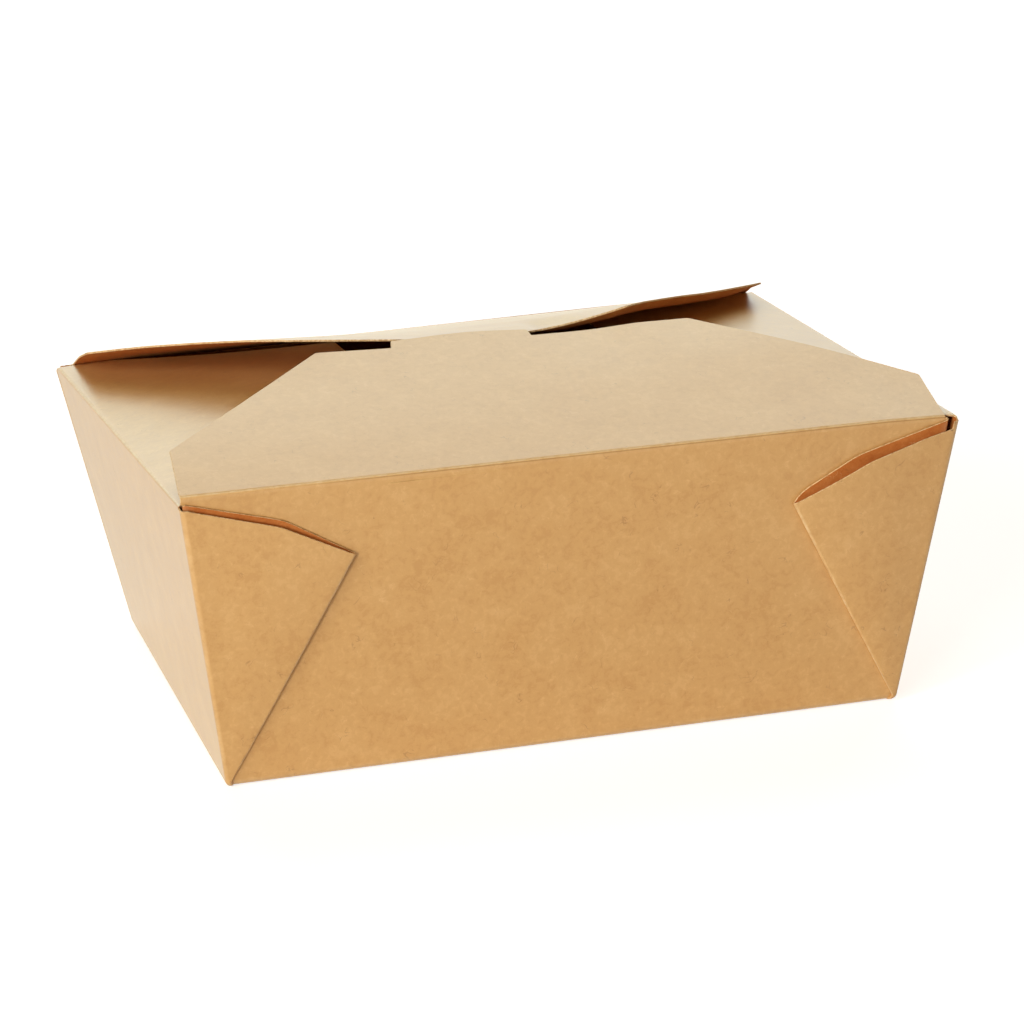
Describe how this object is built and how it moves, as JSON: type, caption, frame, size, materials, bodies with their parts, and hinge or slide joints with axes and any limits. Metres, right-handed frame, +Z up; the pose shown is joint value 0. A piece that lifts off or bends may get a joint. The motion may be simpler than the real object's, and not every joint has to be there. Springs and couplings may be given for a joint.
{
  "type": "takeaway box",
  "caption": "Tapered kraft board takeaway box with folded web corners, short end flaps, a back flap and a hinged front flap with a lock tab, shown loosely closed.",
  "frame": {"origin": "middle of the base, at the bottom of the bounding box", "axes": "+X along the long walls, +Y from the front wall to the back wall, +Z up"},
  "size_m": [0.1706, 0.143, 0.0825],
  "materials": {
    "kraft_board": "matt uncoated kraft outside and in, with pale cut edges and score lines"
  },
  "bodies": {
    "carton": {"carton": "kraft_board"},
    "front_flap": {"front_flap": "kraft_board"}
  },
  "joints": [
    {"name": "front_flap_fold", "type": "hinge", "parent": "carton", "child": "front_flap", "pos_m": [0, -0.06999, 0.06575], "axis": [1, 0, 0], "range_deg": [0, 180]}
  ]
}
